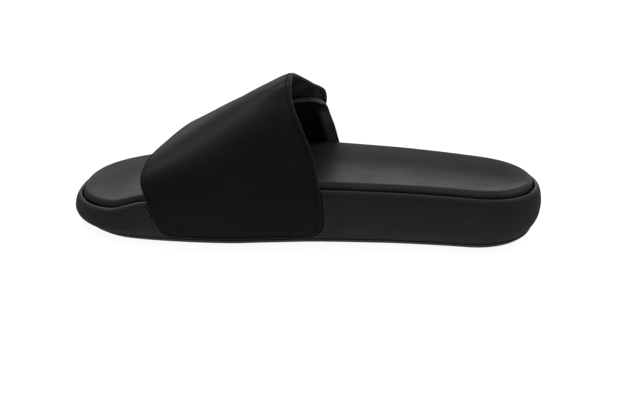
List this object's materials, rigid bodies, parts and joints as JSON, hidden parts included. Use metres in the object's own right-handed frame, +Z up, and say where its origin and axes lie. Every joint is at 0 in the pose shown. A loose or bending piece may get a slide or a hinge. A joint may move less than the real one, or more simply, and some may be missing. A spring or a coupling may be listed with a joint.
{
  "type": "slide sandal",
  "caption": "Black sport slide sandal with a thick contoured foam sole and a broad padded strap closed by hook and loop on its outer side.",
  "frame": {"origin": "on the floor, under the middle of the slide's length and width", "axes": "+X towards the heel, +Y towards the lateral (little toe) side, +Z up"},
  "size_m": [0.29, 0.1104, 0.0969],
  "materials": {
    "outsole_rubber": "matte moulded rubber",
    "midsole_foam": "matte closed-cell foam with a moulded skin",
    "insole_foam": "soft matte foam, finely grained",
    "strap": "matte synthetic, padded and lined"
  },
  "bodies": {
    "root": {"outsole": "outsole_rubber", "midsole": "midsole_foam", "insole": "insole_foam", "upper": "strap"}
  },
  "joints": []
}
